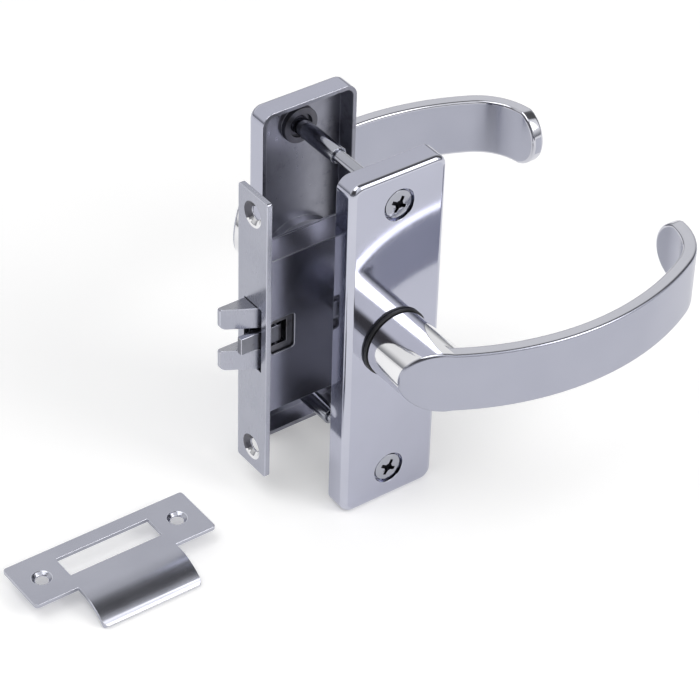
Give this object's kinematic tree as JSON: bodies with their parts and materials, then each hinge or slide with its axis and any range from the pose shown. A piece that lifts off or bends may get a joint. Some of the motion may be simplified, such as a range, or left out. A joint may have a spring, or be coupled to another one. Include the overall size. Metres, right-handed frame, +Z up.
{
  "type": "passage door latch",
  "caption": "Mortice latch with a forked spring bolt and anti-friction tongue, lever handles on rectangular plates, and a lipped strike plate.",
  "frame": {"origin": "centre of the forend's outer face, midway between its two screw holes", "axes": "+X into the door, away from its edge; +Y through the door, from the side with the tie screws' heads to the other side; +Z up"},
  "size_m": [0.2401, 0.142, 0.132],
  "materials": {
    "plate_chrome": "polished chrome plate",
    "lever_chrome": "satin chrome plate with polished edges",
    "black_plastic": "matt black",
    "spring_steel": "oiled spring steel",
    "plated_steel": "bright plated steel",
    "zinc_steel": "zinc plated steel",
    "case_steel": "dark plated sheet steel, folded edges bright",
    "satin_nickel": "satin nickel plate"
  },
  "bodies": {
    "latch": {"near_plate": "plate_chrome", "far_plate": "plate_chrome", "near_washer": "black_plastic", "far_washer": "black_plastic", "tie_screws": "plated_steel", "tie_sleeves": "plated_steel", "case_body": "case_steel", "case_cover": "case_steel", "case_pillars": "zinc_steel", "cover_screws": "zinc_steel", "forend": "satin_nickel", "follower_stop": "zinc_steel", "spring_peg": "zinc_steel", "handle_spring": "spring_steel", "spring_block": "zinc_steel", "bolt_spring": "spring_steel", "strike_plate": "satin_nickel"},
    "handles": {"near_lever": "lever_chrome", "far_lever": "lever_chrome", "near_circlip": "spring_steel", "far_circlip": "spring_steel", "grub_screws": "spring_steel", "spindle": "zinc_steel", "follower": "zinc_steel"},
    "bolt": {"latch_bolt": "satin_nickel", "bolt_tail": "zinc_steel", "tail_rivets": "zinc_steel", "guide_rod": "zinc_steel", "tongue_pin": "zinc_steel"},
    "tongue": {"tongue": "satin_nickel"}
  },
  "joints": [
    {"name": "handle_turn", "type": "hinge", "parent": "latch", "child": "handles", "pos_m": [0.036, 0, 0], "axis": [0, 1, 0], "range_deg": [0, 40], "stiffness_Nm_per_rad": 0.9, "springref_deg": -28.65, "deforming": ["handle_spring"]},
    {"name": "bolt_slide", "type": "slide", "parent": "latch", "child": "bolt", "axis": [1, 0, 0], "range_m": [0, 0.0106], "stiffness_N_per_m": 300, "springref_m": -0.01, "deforming": ["bolt_spring"]},
    {"name": "tongue_swing", "type": "hinge", "parent": "bolt", "child": "tongue", "pos_m": [0.0075, -0.0021, 0], "axis": [0, 0, -1], "range_deg": [0, 18]}
  ],
  "couplings": [
    {"joint": "bolt_slide", "follows": "handle_turn", "m_per_rad": 0.015183}
  ]
}
